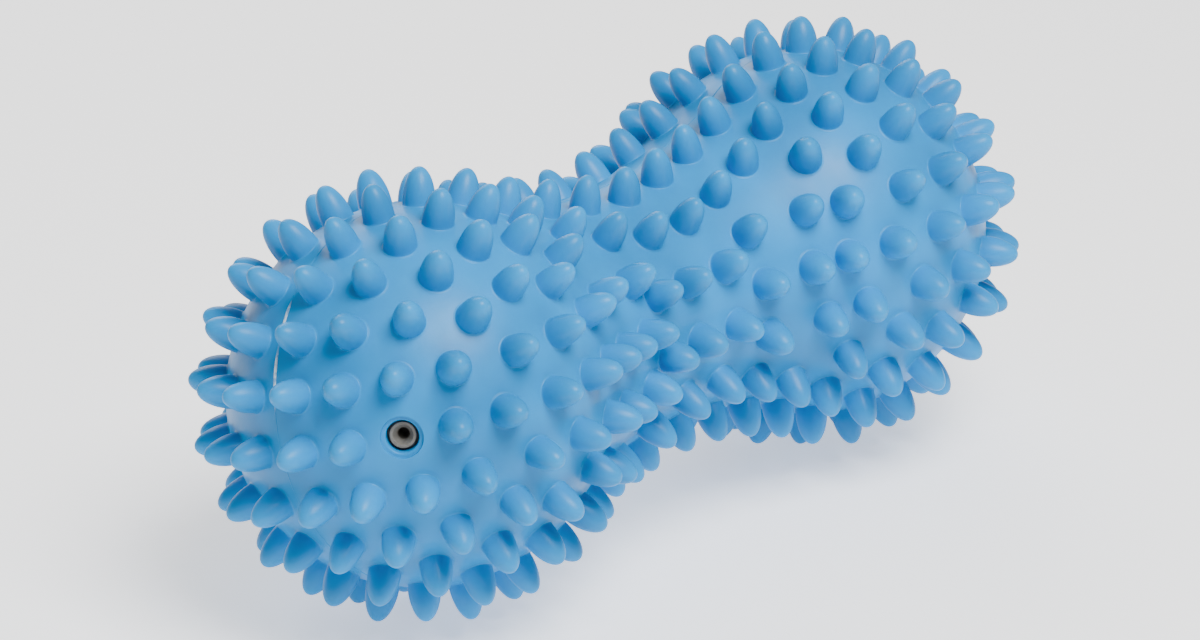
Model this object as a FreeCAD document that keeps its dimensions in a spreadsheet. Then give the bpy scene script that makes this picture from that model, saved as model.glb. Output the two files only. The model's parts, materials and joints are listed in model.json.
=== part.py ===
"""Inflatable peanut ball: two spiky hollow lobes joined by a waist, with a rubber needle valve.

Millimetres, +Z up. The long axis lies along X and the origin is at its middle, between the two lobes.
The shell is drawn in the frame of its mould, where Z is the direction the mould opens and XY is the
parting plane. It is then rolled about X to the way the ball lies on a table. The valve is in the
lobe on the -X side.
"""
import FreeCAD, Part
import Sketcher
import math
import os

V = FreeCAD.Vector
X_AXIS = V(1, 0, 0)
Z_AXIS = V(0, 0, 1)

SIZES = [
    ("lobe_radius", 32.6),  # outer skin of a lobe, without spikes
    ("lobe_spacing", 98.0),  # between the two lobe centres
    ("waist_radius", 21.2),  # outer skin at the middle of the waist
    ("wall", 2.4),
    ("mould_roll", 72.7),  # degrees about X from the mould's frame to the lying pose
    ("spike_height", 6.9),
    ("spike_root_radius", 3.15),
    ("spike_tip_radius", 1.8),
    ("spike_sink", 1.2),  # how far a spike runs into the skin below it
    ("first_row", 9.0),  # degrees on a lobe from the parting plane to the first row of spikes
    ("row_pitch", 15.8),  # degrees on a lobe from one row to the next
    ("waist_lift", 2.8),  # how much higher rows 1 and 2 stand at the waist than on the lobes
    ("seam_height", 0.2),
    ("seam_width", 0.45),
    ("recess_radius", 3.6),  # shallow dish round the valve
    ("recess_depth", 0.9),
    ("socket_radius", 2.75),
    ("seat_radius", 4.8),  # thickened neck inside the skin that grips the plug
    ("seat_depth", 9.0),  # from the skin down to the neck's inner end
    ("plug_top_depth", 2.2),  # from the skin down to the plug's rim
    ("plug_rim_radius", 2.2),
    ("plug_rim_height", 1.3),
    ("plug_body_radius", 2.7),
    ("plug_flange_radius", 3.7),
    ("plug_flange_gap", 0.1),
    ("plug_flange_height", 1.0),
    ("plug_shoulder_rise", 0.5),  # slope from the plug's body up to its rim
    ("plug_length", 9.6),
    ("funnel_radius", 1.75),
    ("funnel_depth", 1.3),
    ("needle_radius", 1.0),
    ("needle_length", 5.0),  # straight blind channel below the funnel
]

# Rows 1 and 2 run round the whole outline. Their spikes are counted in steps over a quarter of it.
OUTLINE_ROW_STEPS = (11.0, 10.5)
# Rows 3, 4, 5 and the crown are closed rings, the same on both lobes.
LOBE_RINGS = (16, 12, 6, 1)
# The top and bottom of the waist: place along the axis, and degrees to either side of the crown line.
WAIST_SPIKES = (
    (-16.3, (0.0, 23.0)),
    (-10.9, (13.7,)),
    (-2.4, (13.7,)),
    (7.1, (13.7,)),
    (14.4, (0.0, 23.5)),
)
WALK_POINTS = 600  # fineness of the walk along a row
SPIKE_TURN = 25.0  # degrees each spike is turned on its own axis

doc = FreeCAD.newDocument("PeanutBall")
sheet = doc.addObject("Spreadsheet::Sheet", "Sizes")
for number, (alias, value) in enumerate(SIZES, start=1):
    sheet.set(f"A{number}", alias)
    sheet.set(f"B{number}", str(value))
    sheet.setAlias(f"B{number}", alias)
doc.recompute()


def size(alias):
    """A driving dimension, read back from the sheet."""
    return float(sheet.get(alias))


# The waist is an arc that touches both lobes from outside, written once for the sketches and once here.
WAIST_ARC = (
    "((Sizes.lobe_spacing / 2) ^ 2 + Sizes.waist_radius ^ 2 - Sizes.lobe_radius ^ 2)"
    " / (2 * (Sizes.lobe_radius - Sizes.waist_radius))"
)
LOBE = size("lobe_radius")
HALF = size("lobe_spacing") / 2
WAIST = size("waist_radius")
ARC = (HALF**2 + WAIST**2 - LOBE**2) / (2 * (LOBE - WAIST))
TOUCH_X = HALF * ARC / (LOBE + ARC)  # where the waist arc meets a lobe


# ---------------------------------------------------------------- sketch helpers


def new_body(name):
    """An empty PartDesign body."""
    return doc.addObject("PartDesign::Body", name)


def new_sketch(body, name, role):
    """A sketch on one of the body's own origin planes."""
    sketch = body.newObject("Sketcher::SketchObject", name)
    plane = [item for item in body.Origin.OriginFeatures if item.Role == role][0]
    sketch.AttachmentSupport = [(plane, "")]
    sketch.MapMode = "FlatFace"
    return sketch


def bind(sketch, constraint, name, expression):
    """Adds a driving constraint and ties it to the sheet."""
    index = sketch.addConstraint(constraint)
    sketch.renameConstraint(index, name)
    sketch.setExpression(f"Constraints.{name}", expression)


def arc(x, y, radius, start, end):
    """An arc of a circle in the sketch plane, anticlockwise, angles in radians."""
    return Part.ArcOfCircle(Part.Circle(V(x, y, 0), Z_AXIS, radius), start, end)


def line(start, end):
    return Part.LineSegment(V(*start, 0), V(*end, 0))


def peanut_sketch(body, name, inset):
    """Half of the peanut outline, closed along the long axis. inset is a length below the outer skin."""
    sketch = new_sketch(body, name, "XY_Plane")
    depth = size(inset) if inset else 0.0
    below = f" - Sizes.{inset}" if inset else ""
    above = f" + Sizes.{inset}" if inset else ""
    lobe, waist_arc = LOBE - depth, ARC + depth
    centre_y = WAIST + ARC
    touch = math.atan2(centre_y, HALF)
    left = sketch.addGeometry(arc(-HALF, 0, lobe, touch, math.pi), False)
    middle = sketch.addGeometry(arc(0, centre_y, waist_arc, math.pi + touch, 2 * math.pi - touch), False)
    right = sketch.addGeometry(arc(HALF, 0, lobe, 0, math.pi - touch), False)
    axis = sketch.addGeometry(line((-HALF - lobe, 0), (HALF + lobe, 0)), False)
    add = lambda *words: sketch.addConstraint(Sketcher.Constraint(*words))
    add("Coincident", axis, 1, left, 2)
    add("Coincident", axis, 2, right, 1)
    add("PointOnObject", axis, 1, -1)
    add("PointOnObject", axis, 2, -1)
    add("PointOnObject", left, 3, -1)
    add("PointOnObject", right, 3, -1)
    add("Tangent", left, 1, middle, 1)
    add("Tangent", middle, 2, right, 2)
    half = "Sizes.lobe_spacing / 2"
    bind(sketch, Sketcher.Constraint("DistanceX", left, 3, -1, 1, HALF), "left_centre", half)
    bind(sketch, Sketcher.Constraint("DistanceX", -1, 1, right, 3, HALF), "right_centre", half)
    bind(sketch, Sketcher.Constraint("Radius", left, lobe), "left_radius", "Sizes.lobe_radius" + below)
    bind(sketch, Sketcher.Constraint("Radius", right, lobe), "right_radius", "Sizes.lobe_radius" + below)
    bind(sketch, Sketcher.Constraint("Radius", middle, waist_arc), "waist_arc", WAIST_ARC + above)
    return sketch


def turned(body, sketch, kind, name, axis):
    """A full turn of the sketch about one of its own axes: PartDesign::Revolution or Groove."""
    feature = body.newObject(kind, name)
    feature.Profile = sketch
    feature.ReferenceAxis = (sketch, [axis])
    feature.Angle = 360
    body.Tip = feature
    doc.recompute()
    return feature


def turned_outline(body, name, points):
    """A sketch of straight lines on the XZ plane, held by the sheet, turned about Z.

    points are (radius expression, height expression) pairs, in order round the outline.
    """
    sketch = new_sketch(body, name, "XZ_Plane")
    spots = [(evaluate(radius), evaluate(height)) for radius, height in points]
    count = len(points)
    for index in range(count):
        sketch.addGeometry(line(spots[index], spots[(index + 1) % count]), False)
    for index in range(count):
        sketch.addConstraint(Sketcher.Constraint("Coincident", index, 2, (index + 1) % count, 1))
    for index, (radius, height) in enumerate(points):
        x, y = spots[index]
        if radius == "0":
            sketch.addConstraint(Sketcher.Constraint("PointOnObject", index, 1, -2))
        else:
            bind(sketch, Sketcher.Constraint("DistanceX", -1, 1, index, 1, x), f"radius_{index}", radius)
        if height == "0":
            sketch.addConstraint(Sketcher.Constraint("PointOnObject", index, 1, -1))
        elif y < 0:
            depth = Sketcher.Constraint("DistanceY", index, 1, -1, 1, -y)
            bind(sketch, depth, f"depth_{index}", f"-({height})")
        else:
            bind(sketch, Sketcher.Constraint("DistanceY", -1, 1, index, 1, y), f"height_{index}", height)
    return turned(body, sketch, "PartDesign::Revolution", name + "Turned", "V_Axis")


def evaluate(expression):
    """The present value of an expression over the sheet."""
    return float(sheet.evalExpression(expression.replace("Sizes.", "")))


# ---------------------------------------------------------------- the hollow peanut and one spike


def peanut_form():
    """The plain hollow skin: the outline turned about the long axis, less the same outline one wall in."""
    body = new_body("PeanutForm")
    turned(body, peanut_sketch(body, "OuterOutline", ""), "PartDesign::Revolution", "OuterSkin", "H_Axis")
    turned(body, peanut_sketch(body, "InnerOutline", "wall"), "PartDesign::Groove", "Hollow", "H_Axis")
    return body


def spike_form():
    """One spike on the Z axis, its root below Z = 0: a cone that runs smoothly into a round tip."""
    body = new_body("SpikeForm")
    sketch = new_sketch(body, "SpikeOutline", "XZ_Plane")
    root, tip = size("spike_root_radius"), size("spike_tip_radius")
    sink, height = size("spike_sink"), size("spike_height")
    centre = height - tip
    # The side leaves the tip's circle square to the radius, so it starts at this angle on the circle.
    reach = math.hypot(root, centre + sink)
    lean = math.atan2(-(centre + sink), root) + math.acos(tip / reach)
    side_top = (tip * math.cos(lean), centre + tip * math.sin(lean))
    floor = sketch.addGeometry(line((0, -sink), (root, -sink)), False)
    side = sketch.addGeometry(line((root, -sink), side_top), False)
    dome = sketch.addGeometry(arc(0, centre, tip, lean, math.pi / 2), False)
    axis = sketch.addGeometry(line((0, height), (0, -sink)), False)
    add = lambda *words: sketch.addConstraint(Sketcher.Constraint(*words))
    add("Coincident", floor, 2, side, 1)
    add("Tangent", side, 2, dome, 1)
    add("Coincident", dome, 2, axis, 1)
    add("Coincident", axis, 2, floor, 1)
    add("Horizontal", floor)
    add("PointOnObject", axis, 1, -2)
    add("PointOnObject", axis, 2, -2)
    add("PointOnObject", dome, 3, -2)
    width = Sketcher.Constraint("DistanceX", floor, 1, floor, 2, root)
    bind(sketch, width, "root", "Sizes.spike_root_radius")
    bind(sketch, Sketcher.Constraint("Radius", dome, tip), "tip", "Sizes.spike_tip_radius")
    bind(sketch, Sketcher.Constraint("DistanceY", floor, 1, -1, 1, sink), "sink", "Sizes.spike_sink")
    bind(sketch, Sketcher.Constraint("DistanceY", -1, 1, axis, 1, height), "height", "Sizes.spike_height")
    turned(body, sketch, "PartDesign::Revolution", "SpikeTurned", "V_Axis")
    return body


# ---------------------------------------------------------------- where the spikes stand


def skin_radius(x):
    """Radius of the outer skin about the long axis at x."""
    if abs(x) < TOUCH_X:
        return WAIST + ARC - math.sqrt(ARC**2 - x**2)
    return math.sqrt(max(LOBE**2 - (abs(x) - HALF) ** 2, 0.0))


def outward(point):
    """Unit vector square to the skin at a point on it."""
    side = math.copysign(1.0, point.x)
    if abs(point.x) >= TOUCH_X:
        return (point - V(side * HALF, 0, 0)).normalize()
    radial = V(0, point.y, point.z).normalize()
    return (radial * (WAIST + ARC) - point).normalize()


def outline_row(row, steps):
    """Spikes of an open row, walked in equal steps along the skin.

    The row is level round the lobe's end and rises evenly from the lobe's middle to the waist.
    Only the quarter with positive x and y is walked, from the end of the long axis to the waist.
    """
    height = LOBE * math.sin(math.radians(size("first_row") + row * size("row_pitch")))
    ring = math.sqrt(LOBE**2 - height**2)
    walk = [HALF + ring * math.cos(math.pi / 2 * n / WALK_POINTS) for n in range(WALK_POINTS)]
    walk += [HALF * (1 - n / WALK_POINTS) for n in range(WALK_POINTS + 1)]
    path, travelled = [], [0.0]
    for x in walk:
        z = height + size("waist_lift") * max(1 - x / HALF, 0.0)
        path.append(V(x, math.sqrt(max(skin_radius(x) ** 2 - z**2, 0.0)), z))
    for before, after in zip(path, path[1:]):
        travelled.append(travelled[-1] + before.distanceToPoint(after))
    step = travelled[-1] / steps
    spots = []
    for number in range(int(steps) + 1):
        nearest = min(range(len(path)), key=lambda n: abs(travelled[n] - number * step))
        spots.append(path[nearest])
    return spots


def ring_rows(side):
    """Spikes of the closed rings on one lobe, each with a spike towards that lobe's own end.

    Seen along Z the rings are circles. Towards the waist they climb onto the waist's own skin.
    """
    spots = []
    for row, count in enumerate(LOBE_RINGS, start=len(OUTLINE_ROW_STEPS)):
        rise = math.radians(size("first_row") + row * size("row_pitch")) if count > 1 else math.pi / 2
        reach = LOBE * math.cos(rise)
        for number in range(count):
            turn = 2 * math.pi * number / count
            x, y = side * (HALF + reach * math.cos(turn)), reach * math.sin(turn)
            spots.append(V(x, y, math.sqrt(skin_radius(x) ** 2 - y**2)))
    return spots


def waist_rows():
    """Spikes on the upper side of the waist, between the rings of the two lobes."""
    spots = []
    for x, angles in WAIST_SPIKES:
        for angle in angles:
            turn = math.radians(angle)
            spots.append(V(x, skin_radius(x) * math.sin(turn), skin_radius(x) * math.cos(turn)))
    return spots


def mirrored(spots, axis):
    """The spots and their mirror images, without doubling those that lie on the mirror."""
    images = []
    for spot in spots:
        if abs(getattr(spot, axis)) > 1e-6:
            image = V(spot)
            setattr(image, axis, -getattr(spot, axis))
            images.append(image)
    return spots + images


def spike_spots():
    """Every place on the skin that has a spike, in the mould's frame."""
    quarter = []
    for row, steps in enumerate(OUTLINE_ROW_STEPS):
        quarter += outline_row(row, steps)
    upper = mirrored(mirrored(quarter, "x") + waist_rows(), "y")
    upper += ring_rows(-1) + ring_rows(1)
    valve = valve_spot()
    return [spot for spot in mirrored(upper, "z") if spot.distanceToPoint(valve) > size("recess_radius")]


def valve_spot():
    """The valve takes the place of the row 3 spike at the end of its lobe."""
    rise = math.radians(size("first_row") + len(OUTLINE_ROW_STEPS) * size("row_pitch"))
    return V(-HALF - LOBE * math.cos(rise), 0, LOBE * math.sin(rise))


def standing(point):
    """Placement with the origin at a point on the skin and Z pointing straight out of it."""
    return FreeCAD.Placement(point, FreeCAD.Rotation(Z_AXIS, outward(point)))


def spike_field(spike):
    """All the spikes of the shell, as copies of the one spike.

    Each is turned a little on its own axis, so that its closing edge stays clear of the skin's own.
    """
    feature = doc.addObject("Part::Feature", "SpikeField")
    turn = FreeCAD.Placement(V(0, 0, 0), FreeCAD.Rotation(Z_AXIS, SPIKE_TURN))
    copies = []
    for spot in spike_spots():
        copy = spike.Shape.copy()
        copy.Placement = standing(spot).multiply(turn)
        copies.append(copy)
    feature.Shape = Part.makeCompound(copies)
    return feature


def seam():
    """The fine raised line where the mould's halves met, all round in the parting plane."""
    feature = doc.addObject("Part::Feature", "Seam")
    outer = outline_face(size("seam_height"))
    inner = outline_face(-size("wall") / 2)
    band = outer.cut(inner).extrude(V(0, 0, size("seam_width")))
    feature.Shape = band
    feature.Placement.Base = V(0, 0, -size("seam_width") / 2)
    return feature


def outline_face(grow):
    """The peanut outline as a flat face in the parting plane, grown by a length."""
    lobe, waist_arc, centre_y = LOBE + grow, ARC - grow, WAIST + ARC
    touch_x = HALF * waist_arc / (LOBE + ARC)
    touch_y = centre_y * lobe / (LOBE + ARC)
    end_x, waist_y = HALF + lobe, WAIST + grow
    edges = []
    for side in (1, -1):
        first, second = V(side * touch_x, -side * touch_y, 0), V(side * touch_x, side * touch_y, 0)
        third = V(-side * touch_x, side * touch_y, 0)
        edges.append(Part.Arc(first, V(side * end_x, 0, 0), second).toShape())
        edges.append(Part.Arc(second, V(0, side * waist_y, 0), third).toShape())
    return Part.Face(Part.Wire(edges))


# ---------------------------------------------------------------- the valve


def cylinder(name, radius, height, base):
    """A cylinder on the valve's axis, from base upwards, bound to the sheet."""
    feature = doc.addObject("Part::Cylinder", name)
    feature.setExpression("Radius", radius)
    feature.setExpression("Height", height)
    lift = FreeCAD.Placement(V(0, 0, evaluate(base)), FreeCAD.Rotation())
    feature.Placement = standing(valve_spot()).multiply(lift)
    return feature


def valve_plug():
    """The rubber plug: a rim with a funnel, a blind needle channel and a flange that holds it in the neck."""
    body = new_body("ValvePlug")
    top = "-Sizes.plug_top_depth"
    shoulder = f"{top} - Sizes.plug_rim_height"
    flange = "-Sizes.seat_depth - Sizes.plug_flange_gap"
    end = f"{top} - Sizes.plug_length"
    funnel = f"{top} - Sizes.funnel_depth"
    turned_outline(
        body,
        "PlugOutline",
        [
            ("0", end),
            ("Sizes.plug_body_radius", end),
            ("Sizes.plug_flange_radius", f"{flange} - Sizes.plug_flange_height"),
            ("Sizes.plug_flange_radius", flange),
            ("Sizes.plug_body_radius", flange),
            ("Sizes.plug_body_radius", shoulder),
            ("Sizes.plug_rim_radius", f"{shoulder} + Sizes.plug_shoulder_rise"),
            ("Sizes.plug_rim_radius", top),
            ("Sizes.funnel_radius", top),
            ("Sizes.needle_radius", funnel),
            ("Sizes.needle_radius", f"{funnel} - Sizes.needle_length"),
            ("0", f"{funnel} - Sizes.needle_length"),
        ],
    )
    return body


# ---------------------------------------------------------------- putting it together


def fused(name, shapes):
    feature = doc.addObject("Part::MultiFuse", name)
    feature.Shapes = shapes
    return feature


def cut(name, base, tool):
    feature = doc.addObject("Part::Cut", name)
    feature.Base = base
    feature.Tool = tool
    return feature


def check(feature):
    """Stops the build at anything that did not come out as one sound solid."""
    if feature.Shape.isNull() or not feature.Shape.isValid() or len(feature.Shape.Solids) != 1:
        raise RuntimeError(f"{feature.Label} is not one sound solid")


rolled = FreeCAD.Placement(V(0, 0, 0), FreeCAD.Rotation(X_AXIS, size("mould_roll")))
neck = cylinder("Neck", "Sizes.seat_radius", "Sizes.seat_depth - Sizes.wall / 2", "-Sizes.seat_depth")
recess = cylinder("Recess", "Sizes.recess_radius", "Sizes.recess_depth + Sizes.wall", "-Sizes.recess_depth")
socket_floor = "-Sizes.seat_depth - Sizes.wall"
socket = cylinder("Socket", "Sizes.socket_radius", "Sizes.seat_depth + 2 * Sizes.wall", socket_floor)

skin = fused("Skin", [peanut_form(), neck, seam(), spike_field(spike_form())])
shell = cut("Shell", skin, fused("ValveOpening", [recess, socket]))
shell.Label = "shell"
plug = valve_plug()
plug.Label = "valve_plug"
shell.Placement = rolled
plug.Placement = rolled.multiply(standing(valve_spot()))
doc.recompute()

for item in doc.Objects:
    if "Invalid" in item.State or "Error" in item.State:
        raise RuntimeError(f"{item.Label} failed: {item.State}")

os.makedirs("parts", exist_ok=True)
for part in (shell, plug):
    check(part)
    part.Shape.exportStep(f"parts/{part.Label}.step")
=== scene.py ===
"""Spiky peanut ball in glossy blue vinyl, lying on a pale studio floor. Metres, in the frame of the CAD."""
import bpy
import json
import math
import random
from mathutils import Matrix, Vector


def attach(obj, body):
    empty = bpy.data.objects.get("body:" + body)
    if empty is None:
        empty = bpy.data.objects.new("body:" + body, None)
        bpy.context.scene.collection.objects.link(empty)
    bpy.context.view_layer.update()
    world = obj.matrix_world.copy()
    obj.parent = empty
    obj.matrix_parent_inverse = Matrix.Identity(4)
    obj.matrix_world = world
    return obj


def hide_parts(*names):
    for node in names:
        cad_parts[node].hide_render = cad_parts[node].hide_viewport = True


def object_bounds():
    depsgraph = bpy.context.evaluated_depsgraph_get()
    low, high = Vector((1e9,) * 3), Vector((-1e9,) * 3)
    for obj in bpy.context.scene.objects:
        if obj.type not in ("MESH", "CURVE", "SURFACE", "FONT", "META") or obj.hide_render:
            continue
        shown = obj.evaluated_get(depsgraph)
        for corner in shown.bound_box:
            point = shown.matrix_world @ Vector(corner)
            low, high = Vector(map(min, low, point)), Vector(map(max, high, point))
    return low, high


MM = 0.001
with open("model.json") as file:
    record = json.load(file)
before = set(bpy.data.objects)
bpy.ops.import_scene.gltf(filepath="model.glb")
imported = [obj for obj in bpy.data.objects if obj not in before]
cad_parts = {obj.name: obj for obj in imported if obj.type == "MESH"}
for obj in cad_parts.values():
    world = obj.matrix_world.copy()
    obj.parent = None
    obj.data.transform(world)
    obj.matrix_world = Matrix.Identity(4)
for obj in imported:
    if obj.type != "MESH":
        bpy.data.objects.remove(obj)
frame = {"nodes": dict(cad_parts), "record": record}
cad_low, cad_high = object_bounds()
rng = random.Random(7)

# The skin's outline, without spikes: two round lobes joined by an arc that touches both.
LOBE = 32.6 * MM
HALF = 49.0 * MM
WAIST = 21.2 * MM
ARC = (HALF**2 + WAIST**2 - LOBE**2) / (2 * (LOBE - WAIST))
CENTRE_HEIGHT = WAIST + ARC
TOUCH = math.atan2(CENTRE_HEIGHT, HALF)
SPIKE_HEIGHT = cad_high.x - HALF - LOBE
MOULD_ROLL = math.radians(72.7)
# Where flash is left on the seam, in the mould's frame, and how far it reaches to either side.
FLASH = ((Vector((-0.0737, 0.0212, 0)), 2.2 * MM), (Vector((-0.0791, 0.0124, 0)), 4.6 * MM))

valve = frame["record"]["mounts"][0]
VALVE_AXIS = Vector(valve["axis"]).normalized()
VALVE_FOOT = Vector((-HALF, 0, 0)) + VALVE_AXIS * LOBE


# ---------------------------------------------------------------- mesh helpers


class Surface:
    """Points and faces of one object, gathered piece by piece, with a material and a tip value each."""

    def __init__(self):
        self.points = []
        self.faces = []
        self.tip = []

    def add(self, points, faces, place=Matrix.Identity(4), tip=None):
        start = len(self.points)
        self.points += [place @ Vector(point) for point in points]
        self.faces += [tuple(start + index for index in face) for face in faces]
        self.tip += tip or [0.0] * len(points)

    def build(self, name, material):
        mesh = bpy.data.meshes.new(name)
        mesh.from_pydata(self.points, [], self.faces)
        mesh.materials.append(material)
        mesh.polygons.foreach_set("use_smooth", [True] * len(mesh.polygons))
        values = mesh.attributes.new("tip", "FLOAT", "POINT")
        values.data.foreach_set("value", self.tip)
        mesh.update()
        made = bpy.data.objects.new(name, mesh)
        bpy.context.scene.collection.objects.link(made)
        return made


def lathe(profile, count):
    """Points and faces of a profile of (radius, height) pairs turned about Z, listed from the bottom up."""
    points, rings = [], []
    for radius, height in profile:
        if radius == 0:
            rings.append([len(points)] * count)
            points.append((0, 0, height))
        else:
            rings.append(list(range(len(points), len(points) + count)))
            for step in range(count):
                turn = 2 * math.pi * step / count
                points.append((radius * math.cos(turn), radius * math.sin(turn), height))
    faces = []
    for lower, upper in zip(rings, rings[1:]):
        for step in range(count):
            after = (step + 1) % count
            corners = (lower[step], lower[after], upper[after], upper[step])
            faces.append(tuple(dict.fromkeys(corners)))
    return points, faces


def curve(start, end, count):
    """Numbers spaced evenly from start to end, both included."""
    return [start + (end - start) * step / (count - 1) for step in range(count)]


def standing(foot, direction):
    """Matrix that puts the origin at foot and Z along direction."""
    turn = Vector((0, 0, 1)).rotation_difference(direction)
    return Matrix.Translation(foot) @ turn.to_matrix().to_4x4()


# ---------------------------------------------------------------- the skin


def outline(grow=0.0):
    """Points (x, radius) of the outline from the -X end to the +X end, grown by a length."""
    lobe, arc = LOBE + grow, ARC - grow
    turns = curve(math.pi, TOUCH, 110)
    left = [(-HALF + lobe * math.cos(turn), lobe * math.sin(turn)) for turn in turns]
    turns = curve(math.pi + TOUCH, 2 * math.pi - TOUCH, 90)
    middle = [(arc * math.cos(turn), CENTRE_HEIGHT + arc * math.sin(turn)) for turn in turns]
    right = [(-x, radius) for x, radius in reversed(left)]
    return left + middle[1:-1] + right


def skin():
    """The smooth skin, turned about the long axis."""
    surface = Surface()
    profile = [(max(radius, 0.0), x) for x, radius in outline()]
    profile[0] = (0, profile[0][1])
    profile[-1] = (0, profile[-1][1])
    points, faces = lathe(profile, 280)
    surface.add(points, faces, Matrix.Rotation(math.pi / 2, 4, "Y"))
    return surface


def foot_of(point):
    """The point of the skin below a point outside it, and the direction out of the skin there."""
    radius = math.hypot(point.y, point.z)
    if abs(point.x) < HALF * (1 - radius / CENTRE_HEIGHT):
        around = Vector((0, point.y, point.z)) / radius
        centre = around * CENTRE_HEIGHT
        out = (centre - point).normalized()
        return centre - out * ARC, out
    centre = Vector((math.copysign(HALF, point.x), 0, 0))
    out = (point - centre).normalized()
    return centre + out * LOBE, out


def spike_feet(node):
    """Where the CAD shell's spikes stand, found from the round ends of the spikes in its mesh."""
    near_tip, one_spike = 0.93 * SPIKE_HEIGHT, 3.4 * MM
    groups = []
    for vertex in node.data.vertices:
        foot, out = foot_of(vertex.co)
        if (vertex.co - foot).dot(out) < near_tip:
            continue
        near = [group for group in groups if (group[0] - vertex.co).length < one_spike]
        if near:
            near[0].append(vertex.co.copy())
        else:
            groups.append([vertex.co.copy()])
    return [foot_of(sum(group, Vector()) / len(group)) for group in groups]


def spike_profile():
    """A blunt bullet on the thin ring that its mould insert leaves on the skin, from the bottom up."""
    ring, root = 3.15 * MM, 2.8 * MM
    step, fillet = 0.03 * MM, 0.22 * MM
    profile = [(ring + 0.12 * MM, -0.06 * MM), (ring, 0.6 * step), (ring - 0.08 * MM, step)]
    for turn in curve(0.0, math.pi / 2, 4):
        profile.append((root + fillet * (1 - math.sin(turn)), step + fillet * (1 - math.cos(turn))))
    foot = profile[-1][1]
    for turn in curve(0.0, math.pi / 2, 20)[1:]:
        profile.append((root * math.cos(turn) ** 0.97, foot + (SPIKE_HEIGHT - foot) * math.sin(turn)))
    profile[-1] = (0, SPIKE_HEIGHT)
    return profile


def spikes(feet):
    """All the spikes, each a little uneven as soft mouldings are, with feet that follow the skin."""
    surface = Surface()
    profile = spike_profile()
    count = 32
    skirt = 2.0 * MM  # height over which a spike's foot goes over to its own straight axis
    points, faces = lathe(profile, count)
    tip = []
    for radius, height in profile:
        tip += [max(height, 0.0) / SPIKE_HEIGHT] * (1 if radius == 0 else count)
    for foot, out in feet:
        lean = Vector([rng.gauss(0, 0.018) for _ in range(3)])
        long = 1 + rng.uniform(-0.03, 0.005)
        wide = 1 + rng.uniform(-0.03, 0.03)
        shape = Matrix.Diagonal((wide, wide * (1 + rng.uniform(-0.03, 0.03)), long, 1))
        place = standing(foot, (out + lean).normalized()) @ shape
        placed = []
        for point in points:
            spot = place @ Vector(point)
            if point[2] < skirt:
                below, away = foot_of(spot)
                spot = (below + away * point[2]).lerp(spot, max(point[2], 0.0) / skirt)
            placed.append(spot)
        surface.add(placed, faces, tip=tip)
    return surface


def flash_at(spot):
    """How much trimmed flash is left on the seam at a place in the mould's frame, from 0 to 1."""
    return max(math.exp(-(((spot - centre).length / reach) ** 4)) for centre, reach in FLASH)


def seam():
    """The fine raised line in the parting plane, with a round back half sunk into the skin."""
    surface = Surface()
    width, height, sunk = 0.16 * MM, 0.09 * MM, 0.02 * MM
    ridge = [(math.cos(turn), math.sin(turn)) for turn in curve(0, math.pi, 7)]
    path = outline()
    for side in (1, -1):
        points, faces, white = [], [], []
        for x, radius in path:
            foot, out = foot_of(Vector((x, max(radius, 1e-6) * side, 0)))
            wave = 1 + 0.35 * math.sin(x / (3.1 * MM)) * math.sin(x / (7.7 * MM))
            flash = flash_at(foot)
            for across, up in ridge:
                spot = foot + out * (height * up * wave * (1 + flash) - sunk)
                points.append((spot.x, spot.y, width * across * (1 + flash)))
                white.append(flash)
        count = len(ridge)
        for row in range(len(path) - 1):
            for step in range(count - 1):
                first = row * count + step
                faces.append((first, first + 1, first + count + 1, first + count))
        surface.add(points, faces, Matrix.Rotation(MOULD_ROLL, 4, "X"), white)
    return surface


def valve_cutter():
    """The dish round the valve and the socket below it, as a solid to take out of the skin."""
    dish, socket = 3.6 * MM, 2.75 * MM
    floor, deep, clear = -0.9 * MM, -11.0 * MM, 2 * MM
    throat, lip = 0.35 * MM, 0.28 * MM  # how far the socket's and the dish's edges are rounded
    turns = curve(0.3, math.pi / 2, 5)
    profile = [(0, deep), (socket, deep), (socket, floor - throat)]
    profile += [(socket + throat * (1 - math.cos(turn)), floor - throat * (1 - math.sin(turn)))
                for turn in turns]
    profile += [(dish - 0.1 * MM, floor + 0.04 * MM), (dish, floor + 0.3 * MM), (dish, -lip)]
    profile += [(dish + lip * (1 - math.cos(turn)), -lip * (1 - math.sin(turn))) for turn in turns]
    profile += [(dish + 0.3 * MM, clear), (0, clear)]
    surface = Surface()
    points, faces = lathe(profile, 96)
    surface.add(points, faces, standing(VALVE_FOOT, VALVE_AXIS))
    return surface


# ---------------------------------------------------------------- materials


def new_material(name):
    """A new material, with its node tree, its Principled shader and the object's own coordinates."""
    material = bpy.data.materials.new(name)
    material.use_nodes = True
    tree = material.node_tree
    shader = next(node for node in tree.nodes if node.type == "BSDF_PRINCIPLED")
    place = tree.nodes.new("ShaderNodeTexCoord").outputs["Object"]
    return material, tree, shader, place


def noise(tree, place, scale, detail=3.0, roughness=0.5):
    """A noise value from 0 to 1. scale is in features per metre."""
    node = tree.nodes.new("ShaderNodeTexNoise")
    node.inputs["Scale"].default_value = scale
    node.inputs["Detail"].default_value = detail
    node.inputs["Roughness"].default_value = roughness
    tree.links.new(place, node.inputs["Vector"])
    return node.outputs["Fac"]


def ramp(tree, value, low, high, start=0.0, end=1.0):
    """value from low to high, turned into a number from start to end and held there."""
    node = tree.nodes.new("ShaderNodeMapRange")
    for name, number in (("From Min", low), ("From Max", high), ("To Min", start), ("To Max", end)):
        node.inputs[name].default_value = number
    tree.links.new(value, node.inputs["Value"])
    return node.outputs["Result"]


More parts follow.
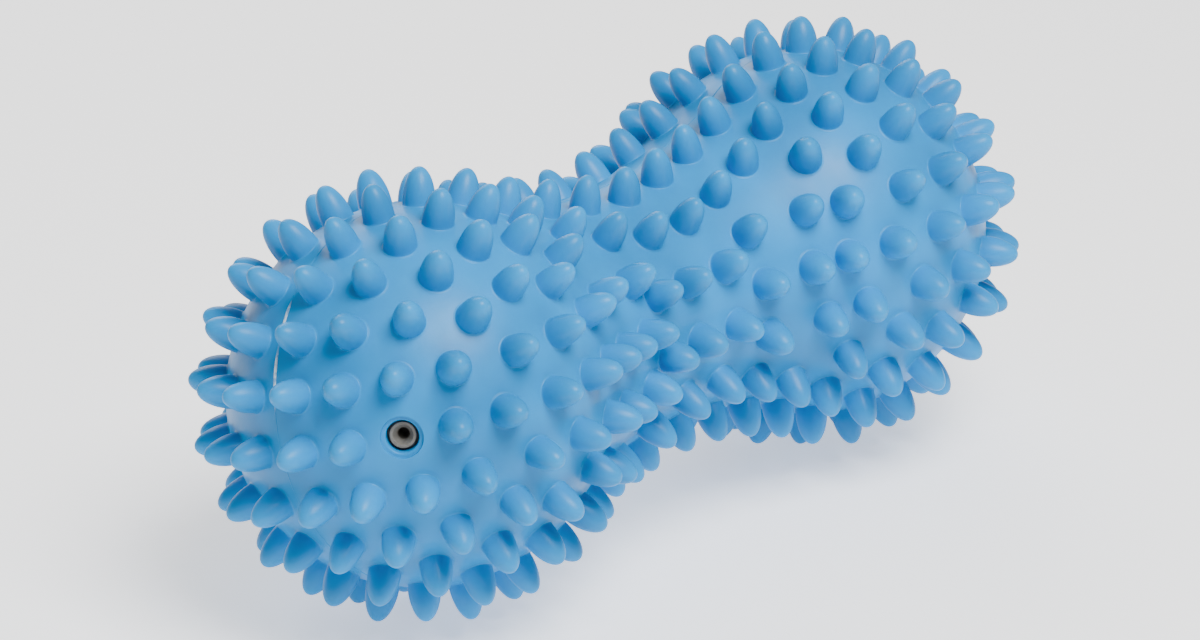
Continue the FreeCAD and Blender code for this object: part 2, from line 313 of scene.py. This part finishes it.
def mix(tree, factor, first, second):
    """Colour first where factor is 0 and second where it is 1. Either may be a colour or a socket."""
    node = tree.nodes.new("ShaderNodeMix")
    node.data_type = "RGBA"
    tree.links.new(factor, node.inputs["Factor"])
    for socket, colour in ((node.inputs[6], first), (node.inputs[7], second)):
        if isinstance(colour, tuple):
            socket.default_value = (*colour, 1)
        else:
            tree.links.new(colour, socket)
    return node.outputs[2]


def product(tree, first, second):
    node = tree.nodes.new("ShaderNodeMath")
    node.operation = "MULTIPLY"
    tree.links.new(first, node.inputs[0])
    tree.links.new(second, node.inputs[1])
    return node.outputs[0]


def bump(tree, shader, layers):
    """Stacks (height value, distance in metres, strength) layers into the shader's normal."""
    last = None
    for height, distance, strength in layers:
        node = tree.nodes.new("ShaderNodeBump")
        node.inputs["Distance"].default_value = distance
        node.inputs["Strength"].default_value = strength
        tree.links.new(height, node.inputs["Height"])
        if last:
            tree.links.new(last, node.inputs["Normal"])
        last = node.outputs["Normal"]
    tree.links.new(last, shader.inputs["Normal"])


def vinyl(name, whitish=0.0):
    """Soft blue vinyl: cloudy dye, spikes painted lighter towards their ends (dust on the ends, and painted
    shade darker towards their crowded feet), scuffs and a moulded skin.
    """
    material, tree, shader, place = new_material(name)
    deep, mid, pale = (0.0, 0.19, 0.46), (0.0, 0.265, 0.62), (0.02, 0.40, 0.78)
    colour = mix(tree, ramp(tree, noise(tree, place, 42), 0.35, 0.65), deep, mid)
    attribute = tree.nodes.new("ShaderNodeAttribute")
    attribute.attribute_name = "tip"
    # Painted shade and dust: each spike is made lighter towards its end and stays darker towards its foot
    # among the other spikes, partly dust on the ends and partly painted crevice shade.
    tip_dust_and_shade = ramp(tree, attribute.outputs["Fac"], 0.55, 1.0, 0.0, 0.22)
    end_dust_and_shade = product(tree, tip_dust_and_shade, noise(tree, place, 300))
    colour = mix(tree, end_dust_and_shade, colour, pale)
    scuffs = ramp(tree, noise(tree, place, 650, 6.0, 0.7), 0.62, 0.74, 0.0, 0.16)
    patches = ramp(tree, noise(tree, place, 60, 2.0), 0.5, 0.7)
    colour = mix(tree, product(tree, scuffs, patches), colour, pale)
    if whitish:
        ragged = ramp(tree, noise(tree, place, 900, 3.0), 0.38, 0.55, 0.3, whitish)
        colour = mix(tree, product(tree, attribute.outputs["Fac"], ragged), colour, (0.75, 0.85, 0.88))
    tree.links.new(colour, shader.inputs["Base Color"])
    gloss = ramp(tree, noise(tree, place, 120, 4.0, 0.6), 0.3, 0.7, 0.34, 0.48)
    tree.links.new(gloss, shader.inputs["Roughness"])
    shader.inputs["IOR"].default_value = 1.48
    shader.inputs["Specular IOR Level"].default_value = 0.22
    shader.inputs["Subsurface Weight"].default_value = 0.12
    shader.inputs["Subsurface Radius"].default_value = (0.3, 0.8, 1.0)
    shader.inputs["Subsurface Scale"].default_value = 0.0015
    shader.inputs["Coat Weight"].default_value = 0.04
    shader.inputs["Coat Roughness"].default_value = 0.22
    layers = [
        (noise(tree, place, 110, 2.0), 0.0006, 0.18),
        (noise(tree, place, 900, 3.0), 0.00008, 0.25),
        (noise(tree, place, 4200, 2.0), 0.00002, 0.3),
    ]
    bump(tree, shader, layers)
    return material


def grey_rubber():
    """The plug's grey rubber, dusty in its funnel."""
    material, tree, shader, place = new_material("grey_rubber")
    clouds = ramp(tree, noise(tree, place, 500, 4.0), 0.35, 0.65)
    colour = mix(tree, clouds, (0.12, 0.11, 0.095), (0.19, 0.18, 0.155))
    dust = ramp(tree, noise(tree, place, 2600, 3.0), 0.6, 0.72, 0.0, 0.35)
    colour = mix(tree, dust, colour, (0.32, 0.31, 0.28))
    tree.links.new(colour, shader.inputs["Base Color"])
    tree.links.new(ramp(tree, noise(tree, place, 1500), 0.3, 0.7, 0.38, 0.55), shader.inputs["Roughness"])
    bump(tree, shader, [(noise(tree, place, 3000, 3.0), 0.00006, 0.4)])
    return material


def pale_floor():
    """The plain floor, which glows a little so that it stays light."""
    material, tree, shader, place = new_material("pale_floor")
    tint = mix(tree, noise(tree, place, 2.0), (0.86, 0.86, 0.87), (0.88, 0.88, 0.88))
    tree.links.new(tint, shader.inputs["Base Color"])
    shader.inputs["Roughness"].default_value = 0.7
    shader.inputs["Emission Color"].default_value = (1.0, 1.0, 1.0, 1)
    shader.inputs["Emission Strength"].default_value = 0.75
    return material


# ---------------------------------------------------------------- the object


def cut_valve(target):
    """Takes the valve's dish and socket out of the skin."""
    cutter = valve_cutter().build("valve_cutter", target.data.materials[0])
    modifier = target.modifiers.new("valve", "BOOLEAN")
    modifier.object = cutter
    modifier.operation = "DIFFERENCE"
    modifier.solver = "EXACT"
    bpy.context.view_layer.update()
    evaluated = target.evaluated_get(bpy.context.evaluated_depsgraph_get())
    target.data = bpy.data.meshes.new_from_object(evaluated)
    target.modifiers.clear()
    bpy.data.objects.remove(cutter)
    target.data.set_sharp_from_angle(angle=math.radians(35))


blue = vinyl("blue_vinyl")
ball = skin().build("shell_skin", blue)
cut_valve(ball)
field = spikes(spike_feet(frame["nodes"]["shell"])).build("shell_spikes", blue)
line = seam().build("shell_seam", vinyl("trimmed_vinyl", whitish=0.9))
for piece in (ball, field, line):
    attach(piece, "root")
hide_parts("shell")

plug = frame["nodes"]["valve_plug"]
plug.data.materials.clear()
plug.data.materials.append(grey_rubber())


# ---------------------------------------------------------------- studio


def floor():
    """A wide pale sheet at the height of the CAD's lowest spikes."""
    surface = Surface()
    reach = 6.0
    corners = [(-reach, -reach, 0), (reach, -reach, 0), (reach, reach, 0), (-reach, reach, 0)]
    surface.add(corners, [(0, 1, 2, 3)], Matrix.Translation((0, 0, cad_low.z)))
    made = surface.build("floor", pale_floor())


def softbox(name, direction, distance, width, power):
    """A square area light that looks at the ball's middle from a direction."""
    light = bpy.data.lights.new(name, "AREA")
    light.size = width
    light.energy = power
    made = bpy.data.objects.new(name, light)
    made.location = Vector(direction).normalized() * distance
    made.rotation_euler = (-Vector(direction)).to_track_quat("-Z", "Y").to_euler()
    bpy.context.scene.collection.objects.link(made)


def white_room(strength):
    world = bpy.data.worlds.new("white_room")
    world.use_nodes = True
    background = world.node_tree.nodes["Background"]
    background.inputs["Color"].default_value = (1.0, 1.0, 1.0, 1)
    background.inputs["Strength"].default_value = strength
    bpy.context.scene.world = world


def camera(azimuth, elevation, distance, lens, right_offset, up_offset):
    """A camera looking along an azimuth and down by an elevation, with the ball's middle off its centre."""
    turn, fall = math.radians(azimuth), math.radians(elevation)
    right = Vector((math.cos(turn), math.sin(turn), 0))
    ahead = Vector((-math.sin(turn) * math.cos(fall), math.cos(turn) * math.cos(fall), -math.sin(fall)))
    up = right.cross(ahead)
    data = bpy.data.cameras.new("camera")
    data.lens = lens
    data.clip_start = 0.01
    made = bpy.data.objects.new("camera", data)
    made.location = -ahead * distance - right * right_offset - up * up_offset
    made.rotation_euler = Matrix((right, up, -ahead)).transposed().to_euler()
    bpy.context.scene.collection.objects.link(made)
    bpy.context.scene.camera = made


floor()
softbox("key", (-0.15, -0.6, 1.0), 0.9, 0.45, 15.0)
softbox("back", (0.5, 1.0, 0.6), 1.0, 0.7, 6.0)
white_room(0.32)
camera(azimuth=-47.1, elevation=23.3, distance=1.1496, lens=198.7, right_offset=0.0029, up_offset=0.0017)
